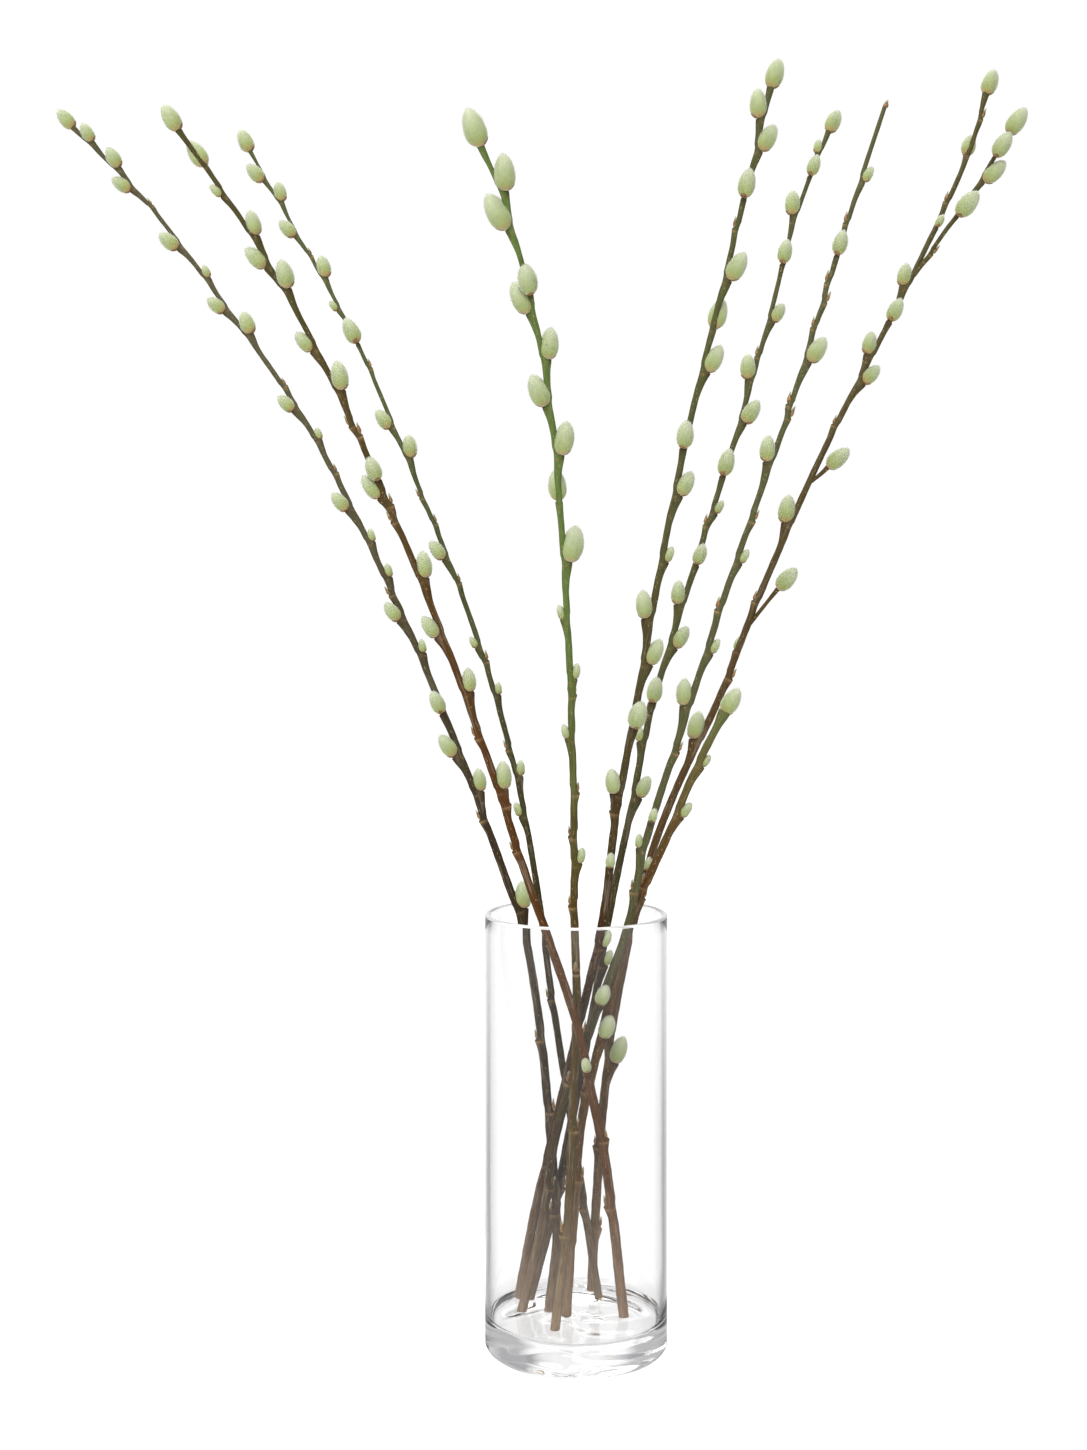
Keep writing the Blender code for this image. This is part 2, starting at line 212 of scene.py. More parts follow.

# %% [markdown]
# ## The catkins
# A catkin is a dense spike of tiny flowers hidden in silk. Its body is matt and yellow-green,
# browner at its base, where the bud scale was. The silk is thousands of fine hairs: here each
# is a slim closed blade 0.16 mm wide at its foot, coarser than the real 0.02 mm so that it
# shows. Where it is seen edge on, its colour is painted silvery, a painted sheen, and a little
# real sheen softens its bright edge.

# %% Catkin body and silk
catkin_body, tree, shader = new_material("Catkin florets, yellow-green", {
    "Roughness": 0.85, "Sheen Weight": 0.6, "Sheen Roughness": 0.45})
where = add(tree, "Attribute", attribute_name="share")
# Paler towards the tip: partly the catkin's own silver, partly painted light from above.
green = add(tree, "ValToRGB", {"Fac": where.outputs["Fac"]},
            [(0.02, linear("#957843")), (0.24, linear("#818f4e")), (0.95, linear("#a6ad8c"))])
place = add(tree, "TexCoord")
mottle = add(tree, "TexNoise", {"Vector": place.outputs["Object"], "Scale": 420.0, "Detail": 2.0})
lift = add(tree, "MapRange", {"Value": mottle, "From Min": 0.3,
                              "From Max": 0.7, "To Min": 0.93, "To Max": 1.07})
mottled = add(tree, "Mix", {0: 1.0, 6: green, 7: lift}, data_type="RGBA", blend_type="MULTIPLY")
tree.links.new(mottled.outputs[2], shader.inputs["Base Color"])

silk, tree, shader = new_material("Catkin silk, silvery green", {
    "Roughness": 0.6, "Sheen Weight": 0.6})
where = add(tree, "Attribute", attribute_name="share")
# Paler towards the tip: partly the silk's own silver, partly painted light from above.
green = add(tree, "ValToRGB", {"Fac": where.outputs["Fac"]},
            [(0.0, linear("#b9965c")), (0.3, linear("#82904d")), (1.0, linear("#b7bca4"))])
end = add(tree, "Attribute", attribute_name="end")
fade = add(tree, "MapRange", {"Value": end.outputs["Fac"], "To Max": 0.5})
paler = add(tree, "Mix", {0: fade, 6: green, 7: linear("#c8ccb9")}, data_type="RGBA")
# Where the silk is seen edge on, its colour is mixed towards pale grey-white: a painted sheen.
facing = add(tree, "LayerWeight", {"Blend": 0.5})
painted_sheen_share = add(tree, "MapRange", {"Value": facing.outputs["Facing"], "From Min": 0.44,
                               "From Max": 0.92, "To Max": 0.95}, interpolation_type="SMOOTHSTEP")
painted_sheen_silk = add(tree, "Mix", {0: painted_sheen_share, 6: paler.outputs[2], 7: linear("#dcddd5")}, data_type="RGBA")
tree.links.new(painted_sheen_silk.outputs[2], shader.inputs["Base Color"])

# %% [markdown]
# A bud scale dries to a satin chestnut brown with a fine grain. The wood at a cut foot is pale
# and matt.

# %% Bud scale and cut wood
def grained(name, scale, stops, roughness):
    """A material with a fine two-coloured grain, and that grain for a relief."""
    made, tree, shader = new_material(name, {"Roughness": roughness})
    place = add(tree, "TexCoord")
    grain = add(tree, "TexNoise", {"Vector": place.outputs["Object"], "Scale": scale, "Detail": 3.0})
    tint = add(tree, "ValToRGB", {"Fac": grain}, stops)
    tree.links.new(tint.outputs["Color"], shader.inputs["Base Color"])
    return made, grain


scale_brown, grain = grained("Dry bud scale, chestnut", 600.0,
                             [(0.35, linear("#54391f")), (0.7, linear("#94713f"))], 0.45)
tree = scale_brown.node_tree
bump = add(tree, "Bump", {"Height": grain, "Strength": 0.3, "Distance": 0.0002})
tree.links.new(bump.outputs[0], tree.nodes["Principled BSDF"].inputs["Normal"])
cut_wood = grained("Fresh-cut willow wood", 900.0,
                   [(0.0, linear("#b59b6e")), (1.0, linear("#dccba0"))], 0.8)[0]
print("materials:", catkin_body.name, "|", silk.name, "|", scale_brown.name, "|", cut_wood.name)

# %% [markdown]
# ## Making a piece
# Every piece below is one mesh made from arrays of points and faces. This helper makes the
# object, gives it its material and lets it ride on the model's one body.

# %% One mesh piece
def piece(name, points, faces, finish, numbers=None):
    """A smooth mesh object from arrays, with any numbers stored on its points."""
    mesh = bpy.data.meshes.new(name)
    rows = faces.tolist() if isinstance(faces, np.ndarray) else faces
    mesh.from_pydata(np.asarray(points).tolist(), [], rows)
    mesh.shade_smooth()
    for label, values in (numbers or {}).items():
        stored = mesh.attributes.new(label, "FLOAT", "POINT")
        stored.data.foreach_set("value", np.asarray(values, dtype=np.float32))
    mesh.materials.append(finish)
    made = bpy.data.objects.new(name, mesh)
    bpy.context.scene.collection.objects.link(made)
    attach(made, "root")
    return made


# %% [markdown]
# ## The vase
# The real vase is turned in shape: the same outline all the way round. So is this one: an
# outline of points, from the middle of the inside floor, up the wall, over the round rim and
# down the outside, is spun in 160 steps. Its underside has a shallow hollow, as blown glass
# has, and stands on a ring. The glass casts no shadow and is hidden from the light that the
# stems scatter, because the renderer would darken them where real glass lets the light through.

# %% Turn the glass
VASE_RADIUS = 0.0635
VASE_HEIGHT = 0.300
VASE_WALL = 0.0035
VASE_FLOOR = 0.022
VASE_EDGE = 0.005


def arc(centre, radius, start, end, steps):
    """Points on an arc, with angles in degrees from the +X side."""
    turns = np.radians(np.linspace(start, end, steps))
    return [(centre[0] + radius * math.cos(a), centre[1] + radius * math.sin(a)) for a in turns]


def ring_faces(rows, around):
    """Faces over rows of points in rings, closed at both ends by the last two points."""
    faces = []
    for i in range(rows - 1):
        for j in range(around):
            k = (j + 1) % around
            faces.append((i * around + j, i * around + k, (i + 1) * around + k, (i + 1) * around + j))
    first, last = rows * around, (rows - 1) * around
    for j in range(around):
        k = (j + 1) % around
        faces.append((first, k, j))
        faces.append((first + 1, last + j, last + k))
    return faces


inside = VASE_RADIUS - VASE_WALL
half = VASE_WALL / 2
outline = [(r, VASE_FLOOR) for r in (0.006, 0.012, 0.018, 0.024, 0.030, 0.036, 0.042, 0.048)]
outline += arc((inside - 0.004, VASE_FLOOR + 0.004), 0.004, -90, 0, 8)
outline += [(inside, z) for z in np.linspace(0.04, VASE_HEIGHT - 0.012, 12)]
outline += arc((VASE_RADIUS - half, VASE_HEIGHT - half), half, 180, 0, 14)
outline += [(VASE_RADIUS, z) for z in np.linspace(VASE_HEIGHT - 0.012, 0.02, 12)]
outline += arc((VASE_RADIUS - VASE_EDGE, VASE_EDGE), VASE_EDGE, 0, -90, 9)
outline += [(0.052, 0.0), (0.047, 0.0006), (0.041, 0.0010), (0.035, 0.0013), (0.029, 0.0015)]
outline += [(0.023, 0.0016), (0.017, 0.0017), (0.011, 0.0018), (0.006, 0.0018)]
SPINS = 160


def uneven(r, z, a):
    """Blown glass is never quite even: slow waves low on the vase, and 0.7 mm of air beneath it."""
    low = max(0.0, 1.0 - z / 0.11)
    inner = r < inside + 0.0005
    if inner and z > VASE_FLOOR + 0.0001:
        r -= low * (0.00028 * math.sin(3 * a + 70 * z) + 0.00016 * math.sin(7 * a - 130 * z + 1.0))
    elif r < VASE_RADIUS - 0.009:
        bend = 0.0005 * math.sin(2 * a + 90 * r + 0.6) + 0.00035 * math.sin(5 * a - 160 * r)
        z += bend if z > 0.01 else 0.0007 + 0.8 * bend
    return (r * math.cos(a), r * math.sin(a), z)


points = [uneven(r, z, a) for r, z in outline for a in np.linspace(0, -math.tau, SPINS, endpoint=False)]
points += [(0.0, 0.0, VASE_FLOOR), (0.0, 0.0, 0.0015)]
vase = piece("vase_glass", points, ring_faces(len(outline), SPINS), glass)
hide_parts("vase")
# The round rim takes the milky glass: a painted pale highlight.
vase.data.materials.append(rim_glass)
for face in vase.data.polygons:
    if face.center.z > VASE_HEIGHT - half:
        face.material_index = 1
vase.visible_shadow = False
vase.visible_diffuse = False
print("vase:", len(vase.data.polygons), "faces")

# %% [markdown]
# ## Where the stems grow
# The paths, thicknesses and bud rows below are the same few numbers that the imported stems
# were built from, so the fine bark lies in the same place. A path is in millimetres from tip
# to foot, and the tip bears a full catkin where nothing else is said. A bud row is read from
# the tip down, one letter for each centimetre: capitals are full catkins, small letters are
# small catkins, brackets and marks are bare buds, and the letter gives the side: left, right,
# front or behind.

# %% Paths and bud rows
STEMS = {
    "stem_far_left": [{
        "radii": (0.0034, 0.0014), "catkins": 1.04,
        "path": [(-387, 140, 885), (-329, 138, 826), (-264, 125, 741), (-200, 101, 650),
                 (-137, 76, 530), (-87, 56, 416), (-49, 39, 317), (-37, 34, 282),
                 (-25, 26, 213), (-17, 16, 130), (-13, 10, 76), (-19, 3, 22)],
        "buds": "..R..R.L.)...L..r..L..R....).L..r..)..L..r..r(.L..r....F..L..R.("
                "......R........(....)......(...",
    }],
    "stem_left": [{
        "radii": (0.0035, 0.0014), "catkins": 1.0,
        "path": [(-249, -139, 807), (-211, -127, 753), (-169, -112, 680), (-129, -94, 593),
                 (-92, -80, 503), (-59, -66, 411), (-33, -54, 330), (-19, -49, 290),
                 (-1, -47, 236), (9, -42, 189), (21, -28, 124), (33, -6, 22)],
        "buds": "...B.l..R.L.R...L..R.()..FL)(...R...L...R..(...R)..(...............f....)....(.....",
    }],
    "stem_inner_left": [{
        "radii": (0.0029, 0.0011), "catkins": 1.1,
        "path": [(-250, 140, 867), (-209, 129, 795), (-165, 114, 716), (-118, 94, 608),
                 (-76, 78, 503), (-45, 64, 401), (-28, 51, 315), (-18, 45, 241),
                 (-5, 39, 159), (5, 34, 96), (17, 28, 22)],
        "buds": "...L.R..L.).R..l..F.)....L..R..(.)..L.)....l)..r...(.r..l............(.....)........(...",
    }],
    "stem_centre": [{
        "radii": (0.0033, 0.0014), "catkins": 1.22,
        "path": [(-58, -254, 767), (-45, -240, 739), (-30, -214, 688), (-19, -187, 633),
                 (-13, -161, 576), (-7, -123, 491), (-3, -83, 386), (-2, -55, 304),
                 (0, -38, 237), (-3, -33, 167), (-6, -32, 97), (-15, -31, 22)],
        "buds": "...R.L...FL..R..L..R..B...R...l...r)..l...)..(.r..(....!..........)......(...",
    }],
    "stem_inner_right": [{
        "radii": (0.0035, 0.0015), "catkins": 1.04,
        "path": [(117, -147, 831), (107, -142, 787), (90, -132, 715), (70, -117, 629),
                 (53, -101, 542), (38, -85, 451), (25, -65, 372), (17, -48, 303),
                 (3, -23, 233), (-12, -5, 164), (-28, 13, 91), (-41, 30, 22)],
        "buds": "..L.R..F.(..R..B..R....F..R...r...L..R...F....L(...f.....r.....(..........).......",
    }],
    "stem_middle_right": [{
        "radii": (0.0033, 0.0014), "catkins": 1.03,
        "path": [(187, 70, 863), (161, 63, 796), (141, 55, 721), (115, 44, 633),
                 (87, 37, 546), (56, 31, 446), (38, 26, 362), (23, 22, 291),
                 (13, 22, 230), (0, 22, 164), (-14, 23, 93), (-33, 25, 22)],
        "buds": "..l.F..L..)F...R..(.L..R...F..r(..F..L..R...F(.l...R...........r....(..........).....",
    }],
    "stem_bare_tip": [{
        "radii": (0.0034, 0.0014), "tip": "bare", "catkins": 1.0,
        "path": [(197, -94, 834), (182, -90, 787), (159, -85, 711), (135, -80, 633),
                 (104, -73, 543), (75, -63, 451), (46, -51, 357), (35, -43, 302),
                 (11, -32, 232), (-13, -19, 156), (-24, -7, 84), (-38, 3, 22)],
        "buds": ".....r..(.F.().(.R..()..L...)..r..(..r...L..)....f.l..(.......F.....(.......).....",
    }],
    "stem_forked": [
        {
            "radii": (0.0034, 0.0017), "catkins": 1.12,
            "path": [(306, 85, 895), (291, 84, 845), (255, 75, 769), (232, 70, 724),
                     (178, 57, 620), (132, 48, 518), (103, 42, 446), (72, 36, 382),
                     (53, 32, 332), (38, 31, 272), (26, 34, 207), (18, 39, 127), (12, 44, 22)],
            "buds": "..)..B...(.f....L..F..L.R...(.......L.....(...b.)....L.........f.)"
                    ".........l.R.....(.....)..",
        },
        {
            "radii": (0.0017, 0.0013), "catkins": 1.18,
            "path": [(311, 38, 853), (301, 45, 835), (287, 53, 811), (271, 62, 788),
                     (257, 70, 767), (250, 74, 757)],
            "buds": "..F.R..F..)",
        },
        {
            "radii": (0.0014, 0.0012), "catkins": 1.12,
            "path": [(184, 50, 615), (178, 53, 609), (172, 56, 604)],
            "buds": "",
        },
        {
            "radii": (0.0015, 0.0012), "catkins": 1.12,
            "path": [(146, 36, 527), (137, 42, 515), (125, 47, 499)],
            "buds": "",
        },
    ],
    "stem_short": [{
        "radii": (0.0034, 0.0026), "catkins": 1.1,
        "path": [(99, -44, 442), (81, -41, 406), (63, -36, 362), (41, -31, 310),
                 (28, -27, 267), (15, -21, 212), (3, -16, 157), (-1, -11, 104), (-7, -4, 22)],
        "buds": "....r...r....(..........F...(.....)....(..",
    }],
}
SIDES = {
    "left": Vector((-1.0, 0.0, 0.0)),
    "right": Vector((1.0, 0.0, 0.0)),
    "front": Vector((0.0, -1.0, 0.0)),
    "behind": Vector((0.0, 1.0, 0.0)),
}
LETTERS = {
    "L": ("full", "left"), "R": ("full", "right"), "F": ("full", "front"), "B": ("full", "behind"),
    "l": ("small", "left"), "r": ("small", "right"), "f": ("small", "front"), "b": ("small", "behind"),
    "(": ("bare", "left"), ")": ("bare", "right"), "!": ("bare", "front"),
}
BUD_STEP = 0.010
KINK = 0.0006
SEED = 7
buds = sum(len(run["buds"].replace(".", "")) for runs in STEMS.values() for run in runs)
print(len(STEMS), "stems,", buds, "buds")

# %% [markdown]
# ## Following a path
# A smooth curve through the chosen points gives the middle of the wood. It is measured from
# the tip, so that "35 mm from the tip" is a place and a direction.

# %% A measured path
class Path:
    """A smooth path through chosen points, measured from its first point."""

    def __init__(self, points_mm, pieces=12):
        knots = [Vector(p) * 0.001 for p in points_mm]
        knots = [2 * knots[0] - knots[1]] + knots + [2 * knots[-1] - knots[-2]]
        self.points = []
        for i in range(1, len(knots) - 2):
            a, b, c, d = knots[i - 1:i + 3]
            for j in range(pieces):
                t = j / pieces
                bend = 2 * b + (c - a) * t + (2 * a - 5 * b + 4 * c - d) * t * t
                self.points.append(0.5 * (bend + (3 * b - a - 3 * c + d) * t * t * t))
        self.points.append(knots[-2])
        self.far = [0.0]
        for one, two in zip(self.points, self.points[1:]):
            self.far.append(self.far[-1] + (two - one).length)
        self.length = self.far[-1]
        self.places = np.array([tuple(p) for p in self.points])

    def place(self, far):
        """The point at a distance from the tip."""
        return Vector([np.interp(far, self.far, self.places[:, k]) for k in range(3)])

    def at(self, far):
        """The point at a distance from the tip, and the direction towards the tip."""
        near = self.place(max(far - 0.003, 0.0))
        away = self.place(min(far + 0.003, self.length))
        return self.place(far), (near - away).normalized()


longest = max((Path(runs[0]["path"]).length, name) for name, runs in STEMS.items())
print("the longest stem is", longest[1], "at", round(longest[0], 3), "m")

# %% [markdown]
# ## Reading the buds
# The row gives the kind, the side and the place of each bud. A seeded random draw turns each
# one a little round the stem and varies its size, as no two on a real stem are alike. The
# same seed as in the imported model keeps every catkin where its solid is.

# %% Buds from a row
def read_buds(row, rng):
    """The buds of a row: distance from the tip, kind, side, turn and size."""
    buds = []
    for place_in_row, letter in enumerate(row):
        if letter in LETTERS:
            kind, side = LETTERS[letter]
            turn = math.radians(rng.uniform(-16.0, 16.0))
            size = 1.0 + rng.uniform(-0.12, 0.12)
            shift = rng.uniform(-0.002, 0.002)
            buds.append((place_in_row * BUD_STEP + shift, kind, side, turn, size))
    return buds


def outward(side, along, turn):
    """A side of the stem as a direction square to it, turned a little round it."""
    facing = SIDES[side] - along * SIDES[side].dot(along)
    facing.normalize()
    return Matrix.Rotation(turn, 3, along) @ facing


print("first buds:", read_buds(STEMS["stem_short"][0]["buds"], random.Random(SEED))[:1])

# %% [markdown]
# ## The bark tube
# A willow stem isn't a plain pipe. Under each catkin the wood swells on one side into a
# cushion that ends in a sharp ledge, where the bud sits, and the stem kinks a little there.
# Rings of 16 points, 2.4 mm apart and closer at the ledges, can follow that. Each ring is
# pushed out on the bud's side by a share of the radius.

# %% Rings of bark
RING = 16
RING_GAP = 0.0024
LEDGE_RINGS = (-0.0022, -0.0014, -0.0007, 0.0, 0.0008, 0.0018)
SWELL = {"full": 1.55, "small": 0.95, "bare": 0.5}
CUSHION = {"full": 0.019, "small": 0.015, "bare": 0.010}


def bark_tube(path, radii, buds, rng, level_foot, tip_swell):
    """Points, faces, measured UVs, scar and cork numbers of one run of bark."""
    root, tip = radii
    stations = set(np.arange(0.0, path.length, RING_GAP).round(5).tolist())
    for far, kind, side, turn, size in buds:
        for step in LEDGE_RINGS:
            stations.add(round(min(max(far + step, 0.0), path.length), 5))
    stations.add(round(path.length, 5))
    stations = np.array(sorted(stations))
    wobble = [rng.uniform(0, math.tau) for _ in range(4)]
    facing = Vector((1.0, 0.0, 0.0))
    points = []
    scar = np.zeros((len(stations), RING))
    cork = np.zeros((len(stations), RING))
    for row, far in enumerate(stations):
        centre, along = path.at(far)
        facing = (facing - along * facing.dot(along)).normalized()
        other = along.cross(facing)
        radius = tip + (root - tip) * (far / path.length)
        radius *= 1.0 + tip_swell * max(0.0, 1.0 - far / 0.014) ** 1.3
        radius *= 1.0 + 0.025 * math.sin(far * 260 + wobble[0]) + 0.02 * math.sin(far * 610 + wobble[1])
        reach = [radius * (1.0 + 0.02 * math.sin(3 * math.tau * i / RING + far * 90 + wobble[2]))
                 for i in range(RING)]
        ways = [facing * math.cos(math.tau * i / RING) + other * math.sin(math.tau * i / RING)
                for i in range(RING)]
        for bud_far, kind, side, turn, size in buds:
            below = far - bud_far
            if below > 0.024 or below < -0.004:
                continue
            toward = outward(side, along, turn)
            rise = 0.0
            if 0.0 <= below < CUSHION[kind]:
                rise = (1.0 - below / CUSHION[kind]) ** 1.5
            elif -0.0014 < below < 0.0:
                rise = (1.0 + below / 0.0014) ** 0.7
            centre = centre + toward * KINK * math.exp(-(below / 0.007) ** 2)
            for i in range(RING):
                share = max(0.0, ways[i].dot(toward))
                reach[i] += radius * SWELL[kind] * rise * share ** 2.2
                ring_mark = math.exp(-((below - 0.0012) / 0.0006) ** 2)
                if ring_mark > 0.02:
                    if kind == "bare":
                        cork[row, i] = max(cork[row, i], ring_mark * (0.35 + 0.65 * share))
                    else:
                        scar[row, i] = max(scar[row, i], ring_mark * share)
                        cork[row, i] = max(cork[row, i], 0.25 * ring_mark * (1 - share))
                if rise > 0.6:
                    scar[row, i] = max(scar[row, i], 0.55 * share ** 3 * (rise - 0.6) / 0.4)
        for i in range(RING):
            points.append(centre + ways[i] * reach[i])
    if level_foot:
        along = path.at(path.length)[1]
        for i in range(RING):
            v = points[-RING + i]
            points[-RING + i] = v + along * ((VASE_FLOOR + 0.0004 - v.z) / along.z)
    faces, uvs = [], []
    for row in range(len(stations) - 1):
        for i in range(RING):
            j = (i + 1) % RING
            faces.append((row * RING + i, (row + 1) * RING + i, (row + 1) * RING + j, row * RING + j))
            width = 1000 * math.tau * root / RING
            uvs += [(i * width, stations[row] * 1000), (i * width, stations[row + 1] * 1000),
                    ((i + 1) * width, stations[row + 1] * 1000), ((i + 1) * width, stations[row] * 1000)]
    last = (len(stations) - 1) * RING
    faces.append(tuple(range(RING)))
    faces.append(tuple(reversed(range(last, last + RING))))
    uvs += [(0.0, 0.0)] * (2 * RING)
    marks = {"scar": scar.ravel(), "cork": cork.ravel()}
    return np.array([tuple(p) for p in points]), faces, marks, uvs


test = bark_tube(Path(STEMS["stem_short"][0]["path"]), (0.0034, 0.0026), [], random.Random(1), True, 0.0)
print("the short stem's bark has", len(test[1]), "faces")

# %% [markdown]
# ## The catkin's body
# The body under the silk is an egg, widest below its middle, with the florets as low bumps
# in two crossing spirals, 8 one way and 13 the other, as on the real spike. It is a grid of
# points: so many round, so many along.

# %% An egg of florets
ROUND, ALONG = 22, 15


def egg_radius(share):
    """The catkin's radius at a share of its length, as a share of its greatest radius."""
    low = np.clip(share / 0.40, 0, 1)
    high = np.clip((share - 0.40) / 0.60, 0, 1)
    return np.where(share < 0.40, np.sqrt(np.clip(1 - (1 - low) ** 2.1, 0, 1)),
                    np.clip(1 - high ** 2.05, 0, 1) ** 0.53)


def catkin_frame(base, axis):
    """The rotation that stands a catkin's Z along its axis."""
    return np.array(axis.to_track_quat("Z", "X").to_matrix())


def egg(base, axis, length, radius, phase):
    """Points, faces and shares of one catkin body."""
    shares = 0.5 - 0.5 * np.cos(np.pi * (np.arange(1, ALONG) / ALONG))
    around = np.linspace(0, math.tau, ROUND, endpoint=False)
    s, a = np.meshgrid(shares, around, indexing="ij")
    bumps = 1.0 + 0.045 * np.cos(8 * a + 34 * s + phase) * np.cos(-5 * a + 34 * s)
    r = radius * egg_radius(s) * bumps
    local = np.stack([r * np.cos(a), r * np.sin(a), s * length], -1).reshape(-1, 3)
    local = np.vstack([local, [[0, 0, 0], [0, 0, length]]])
    points = local @ catkin_frame(base, axis).T + np.array(base)
    return points, ring_faces(len(shares), ROUND), {"share": np.append(s.ravel(), [0.0, 1.0])}


print("one catkin body has", len(egg(Vector(), Vector((0, 0, 1)), 0.016, 0.005, 0.0)[1]), "faces")

# %% [markdown]
# ## The silk
# Each hair leaves the body at a slant towards the tip, longest round the middle. As a mesh it
# is a spike on a three-sided foot. All the hairs of a stem are worked out at once with arrays,
# which takes a fraction of a second, and they are spread by the golden angle so that they
# cover the egg evenly, with a seeded jitter on top.

# %% Hairs as slim spikes
GOLDEN_ANGLE = 2.399963
HALF_WIDTH = 0.00008


def hairs(base, axis, length, radius, count, reach, rng):
    """Points, faces and shares of the silk on one catkin."""
    n = np.arange(count)
    share = 0.02 + 0.97 * (n + 0.5) / count
    share = np.clip(share + rng.normal(0, 0.006, count), 0.015, 0.99)
    around = n * GOLDEN_ANGLE + rng.normal(0, 0.12, count)
    r = radius * egg_radius(share)
    ahead = radius * egg_radius(np.minimum(share + 0.02, 1.0))
    slope = np.stack([(ahead - r), np.full(count, 0.02 * length)], -1)
    slope /= np.linalg.norm(slope, axis=1, keepdims=True)
    stray = rng.random(count) < 0.2
    lift = np.radians(np.where(stray, rng.uniform(24, 46, count), rng.uniform(7, 22, count)))
    lift += np.radians(30) * np.clip((share - 0.85) / 0.15, 0, 1)
    out, up = slope[:, 0], slope[:, 1]
    across = out * np.cos(lift) + up * np.sin(lift)
    ahead_way = up * np.cos(lift) - out * np.sin(lift)
    side = rng.normal(0, 0.16, count)
    foot = np.stack([r * 0.97 * np.cos(around), r * 0.97 * np.sin(around), share * length], -1)
    way = np.stack([across * np.cos(around) - side * np.sin(around),
                    across * np.sin(around) + side * np.cos(around), ahead_way], -1)
    way /= np.linalg.norm(way, axis=1, keepdims=True)
    swell = 0.45 + 0.55 * np.sin(np.pi * np.clip(share, 0.08, 0.92))
    long = reach * rng.uniform(0.6, 1.15, count) * swell
    skin = np.stack([up * np.cos(around), up * np.sin(around), -out], -1)
    wide = np.cross(way, skin)
    wide /= np.linalg.norm(wide, axis=1, keepdims=True)
    sides = [HALF_WIDTH * wide, -0.2 * HALF_WIDTH * skin, -HALF_WIDTH * wide]
    tip = foot + way * long[:, None]
    local = np.stack([*(foot + one for one in sides), tip], 1).reshape(-1, 3)
    points = local @ catkin_frame(base, axis).T + np.array(base)
    start = n[:, None] * 4
    faces = np.concatenate([start + [0, 1, 3], start + [1, 2, 3], start + [2, 0, 3], start + [0, 2, 1]])
    above = 0.85 * skin + 0.15 * way
    under = way * (way * skin).sum(1, keepdims=True) - skin
    normals = np.concatenate([under, under, above, -way]) @ catkin_frame(base, axis).T
    normals = np.repeat(normals, 3, axis=0)
    tone = np.clip(share + rng.normal(0, 0.10, count), 0.0, 1.0)
    numbers = {"share": np.repeat(tone, 4), "end": np.tile([0.0, 0.0, 0.0, 1.0], count)}
    return points, faces, numbers, normals


hair_test = hairs(Vector(), Vector((0, 0, 1)), 0.016, 0.005, 100, 0.002, np.random.default_rng(1))
print("100 hairs are", len(hair_test[1]), "triangles")

# %% [markdown]
# ## Bud scales and bare buds
# A willow bud is wrapped in one cap-like scale. When the catkin swells, the scale splits, and
# what stays is a dry chestnut tongue on the outer side of its base. It is a thin curved patch
# that hugs the egg. A bud that hasn't opened is the whole cap: a pointed, slightly flattened
# spindle pressed to the stem.

# %% A scale and a bud
def side_angle(spin, facing):
    """The angle round a catkin's own axis at which a direction lies."""
    local = spin.T @ np.array(facing)
    return math.atan2(local[1], local[0])


def bud_scale(base, axis, facing, length, radius, high):
    """A closed curved tongue over the outer side of a catkin's base."""
    spin = catkin_frame(base, axis)
    middle = side_angle(spin, facing)
    wide, tall = 9, 6
    points, shares = [], []
    for layer in (0.00032, 0.00004):
        for i in range(wide):
            sweep = (i / (wide - 1) - 0.5) * 2
            top_share = high * (1 - abs(sweep) ** 1.6)
            for j in range(tall):
                share = 0.01 + top_share * j / (tall - 1)
                r = radius * float(egg_radius(np.array(share))) + layer * (1 - 0.5 * j / (tall - 1))
                turn = middle + sweep * 1.2 * (1 - 0.25 * j / (tall - 1))
                points.append((r * math.cos(turn), r * math.sin(turn), share * length - 0.0002))
    points = np.array(points) @ spin.T + np.array(base)
    size = wide * tall
    faces = []
    for i in range(wide - 1):
        for j in range(tall - 1):
            a, b, c, d = i * tall + j, (i + 1) * tall + j, (i + 1) * tall + j + 1, i * tall + j + 1
            faces.append((a, b, c, d))
            faces.append((size + d, size + c, size + b, size + a))
    rim = [i * tall for i in range(wide)] + [(wide - 1) * tall + j for j in range(1, tall)]
    rim += [i * tall + tall - 1 for i in range(wide - 2, -1, -1)] + [j for j in range(tall - 2, 0, -1)]
    for one, two in zip(rim, rim[1:] + rim[:1]):
        faces.append((two, one, size + one, size + two))
    return points, faces


def bare_bud(base, axis, facing, length, radius):
    """A pointed closed bud, flatter on the side that lies against the stem."""
    spin = catkin_frame(base, axis)
    middle = side_angle(spin, facing)
    shares = np.array([0.06, 0.16, 0.28, 0.42, 0.58, 0.74, 0.88])
    widths = np.array([0.55, 0.86, 1.0, 0.95, 0.74, 0.44, 0.18])
    sides = 12
    points = []
    for share, width in zip(shares, widths):
        for i in range(sides):
            turn = math.tau * i / sides
            flat = 1.0 if math.cos(turn) > 0 else 0.7
            x = width * radius * math.cos(turn) * flat
            y = width * radius * math.sin(turn) * 1.1
            points.append((x * math.cos(middle) - y * math.sin(middle),
                           x * math.sin(middle) + y * math.cos(middle), share * length))
    points += [(0.0, 0.0, 0.0), (0.0, 0.0, length)]
    points = np.array(points) @ spin.T + np.array(base)
    return points, ring_faces(len(shares), sides)


test = bare_bud(Vector(), Vector((0, 0, 1)), Vector((1, 0, 0)), 0.006, 0.0015)
print("one bare bud has", len(test[1]), "faces")

# %% [markdown]
# ## Growing the stems
# Now each stem is put together: bark for each run of wood, a body, silk and a scale for each
# catkin, and a spindle for each bare bud. Everything of one kind on one stem is one piece, so
# the bark, the florets, the silk and the scales can each take their own finish.

